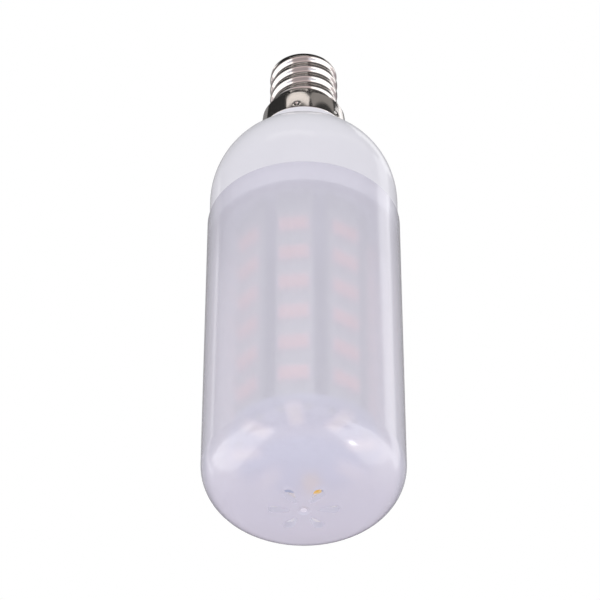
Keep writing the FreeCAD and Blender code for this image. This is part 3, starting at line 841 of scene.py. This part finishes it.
plainLight = (1.0, 1.0, 1.0)
beigeLight = (1.0, 0.95, 0.90)
studio = {
    "floorZ": -760, "floorSide": 9000, "floorColour": (0.74, 0.72, 0.77),
    "cardMiddle": (-5, -66, -66), "cardFaces": 5, "cardWidth": 74, "cardHeight": 92,
    "cardColour": (0.40, 0.355, 0.35),
    "white": 1.0, "fill": (0.97, 0.97, 1.0), "fillStrength": 1.18, "fillAhead": 0.86,
    # what shiny surfaces see of the room, from straight down (0) to straight up (1)
    "room": [
        (0.0, (0.80, 0.86, 1.0)), (0.09, (0.76, 0.80, 0.95)), (0.17, (0.86, 0.80, 0.81)),
        (0.50, (0.78, 0.74, 0.74)),
        (0.56, (0.62, 0.61, 0.62)), (0.66, (0.12, 0.12, 0.12)), (0.74, (0.03, 0.03, 0.03)),
        (1.0, (0.02, 0.02, 0.02)),
    ],
    # its shades come in over a range of directions, from 1 straight to the front to -1 straight back
    "frontShade": (0.82, 0.73, 0.72), "frontRange": (0.72, 0.92),
    "backShade": (0.45, 0.40, 0.44), "backRange": (-0.3, -0.8),
    # panels: middle as (right, away, up), the point faced, width, height, brightness, colour
    "panels": {
        "sideLeft": ((-520, -300, -330), (0, -300, -330), 1080, 620, 0.88, plainLight),
        "sideRight": ((520, -440, -330), (0, -440, -330), 1160, 640, 0.88, plainLight),
        "collarWindow": ((-40, -130, 170), (0, 0, -3), 170, 35, 0.95, beigeLight),
        "collarDim": ((110, -69, 175), (0, 0, -3), 190, 42, 0.26, beigeLight),
    },
    # lamps about the bulb: angle round from the camera, angle up, width, height, brightness, colour
    "lampDistance": 900,
    "lamps": {
        "rimRight": (114, 24, 290, 900, 0.92, plainLight),
        "rimLeft": (-124, 19, 60, 800, 0.9, plainLight),
        "behind": (180, 42, 1500, 700, 0.23, plainLight),
        "hotRight": (62, -37, 95, 95, 8.0, plainLight),
        "overhead": (-5, 38, 500, 130, 0.36, plainLight),
        "softLeft": (-98, 37.5, 420, 200, 0.18, plainLight),
        "shoulderRight": (135, 55, 240, 320, 0.9, plainLight),
    },
}


def onlyReflected(thing):
    thing.visible_camera = False
    thing.visible_diffuse = False
    thing.visible_transmission = False


def addPanel(name, middle, faced, width, height, brightness, colour):
    bpy.ops.object.light_add(type="AREA", location=middle)
    lamp = bpy.context.object
    lamp.name = name
    turnTo(lamp, middle, faced)
    lamp.data.shape = "RECTANGLE"
    lamp.data.size = width * mm
    lamp.data.size_y = height * mm
    lamp.data.color = colour
    lamp.data.energy = brightness * math.pi * width * height * mm * mm
    onlyReflected(lamp)


def lightStudio(settings):
    for name, (middle, faced, *look) in settings["panels"].items():
        addPanel(name, fromCamera(*middle), fromCamera(*faced), *look)
    aim = fromCamera(0, 0, shot["aimZ"])
    for name, (around, up, *look) in settings["lamps"].items():
        around = math.radians(around)
        level = settings["lampDistance"] * math.cos(math.radians(up))
        rise = settings["lampDistance"] * math.sin(math.radians(up))
        middle = aim + fromCamera(level * math.sin(around), -level * math.cos(around), rise)
        addPanel(name, middle, aim, *look)


def addFloor(settings):
    clearSelection()
    place = (0, 0, settings["floorZ"] * mm)
    bpy.ops.mesh.primitive_plane_add(size=settings["floorSide"] * mm, location=place)
    floor = bpy.context.object
    floor.name = "floor"
    floor.data.materials.append(paperFinish("floorPaper", settings["floorColour"]))
    floor.visible_glossy = False  # shiny surfaces see the room instead


def addCard(settings):
    # a dull card low in front of the bulb, which the middle of the thread reflects
    clearSelection()
    middle = fromCamera(*settings["cardMiddle"])
    bpy.ops.mesh.primitive_plane_add(size=mm, location=middle)
    card = bpy.context.object
    card.name = "dullCard"
    card.data.transform(Matrix.Diagonal((settings["cardWidth"], settings["cardHeight"], 1, 1)))
    turnTo(card, middle, fromCamera(0, 0, settings["cardFaces"]), axis="Z")
    card.data.materials.append(paperFinish("cardPaper", settings["cardColour"]))
    onlyReflected(card)
    card.visible_shadow = False


def setWorld(settings):
    world = bpy.data.worlds.new("studioAir")
    bpy.context.scene.world = world
    world.use_nodes = True
    tree = world.node_tree
    tree.nodes.clear()
    path = tree.nodes.new("ShaderNodeLightPath")
    direction = tree.nodes.new("ShaderNodeTexCoord")
    parts = tree.nodes.new("ShaderNodeSeparateXYZ")
    tree.links.new(direction.outputs["Generated"], parts.inputs["Vector"])
    front = tree.nodes.new("ShaderNodeVectorMath")
    front.operation = "DOT_PRODUCT"
    front.inputs[1].default_value = fromCamera(0, -1 / mm, 0)
    tree.links.new(direction.outputs["Generated"], front.inputs[0])

    room = tree.nodes.new("ShaderNodeValToRGB")
    lift = mapTo(tree, parts.outputs["Z"], 0, 1, -1, 1)
    tree.links.new(lift, room.inputs["Fac"])
    elements = room.color_ramp.elements
    while len(elements) < len(settings["room"]):
        elements.new(0.5)
    for element, (position, colour) in zip(elements, settings["room"]):
        element.position = position
        element.color = (*colour, 1)

    def shaded(source, colour, reach):
        node = tree.nodes.new("ShaderNodeMixRGB")
        node.blend_type = "MULTIPLY"
        node.inputs["Color2"].default_value = (*colour, 1)
        tree.links.new(mapTo(tree, front.outputs["Value"], 0, 1, *reach), node.inputs["Fac"])
        tree.links.new(source, node.inputs["Color1"])
        return node.outputs["Color"]

    shadedRoom = shaded(room.outputs["Color"], settings["frontShade"], settings["frontRange"])
    shadedRoom = shaded(shadedRoom, settings["backShade"], settings["backRange"])

    def background(colour, strength):
        node = tree.nodes.new("ShaderNodeBackground")
        node.inputs["Color"].default_value = (*colour, 1)
        node.inputs["Strength"].default_value = strength
        return node

    def mixed(factor, first, second):
        node = tree.nodes.new("ShaderNodeMixShader")
        tree.links.new(factor, node.inputs[0])
        tree.links.new(first.outputs[0], node.inputs[1])
        tree.links.new(second.outputs[0], node.inputs[2])
        return node

    # matt surfaces see the fill, a little weaker from the front
    full = settings["fillStrength"]
    fill = background(settings["fill"], full)
    strength = mapTo(tree, front.outputs["Value"], full, full * settings["fillAhead"], 0, 1)
    tree.links.new(strength, fill.inputs["Strength"])
    white = background(plainLight, settings["white"])
    shiny = background(plainLight, 1)
    tree.links.new(shadedRoom, shiny.inputs["Color"])
    through = tree.nodes.new("ShaderNodeMath")
    through.operation = "MAXIMUM"
    tree.links.new(path.outputs["Is Camera Ray"], through.inputs[0])
    tree.links.new(path.outputs["Is Transmission Ray"], through.inputs[1])
    seen = mixed(through.outputs[0], mixed(path.outputs["Is Glossy Ray"], fill, shiny), white)
    output = tree.nodes.new("ShaderNodeOutputWorld")
    tree.links.new(seen.outputs[0], output.inputs["Surface"])


setCamera(shot)
addFloor(studio)
addCard(studio)
lightStudio(studio)
setWorld(studio)
bpy.context.scene.view_settings.view_transform = "Standard"
print("studio: lit")
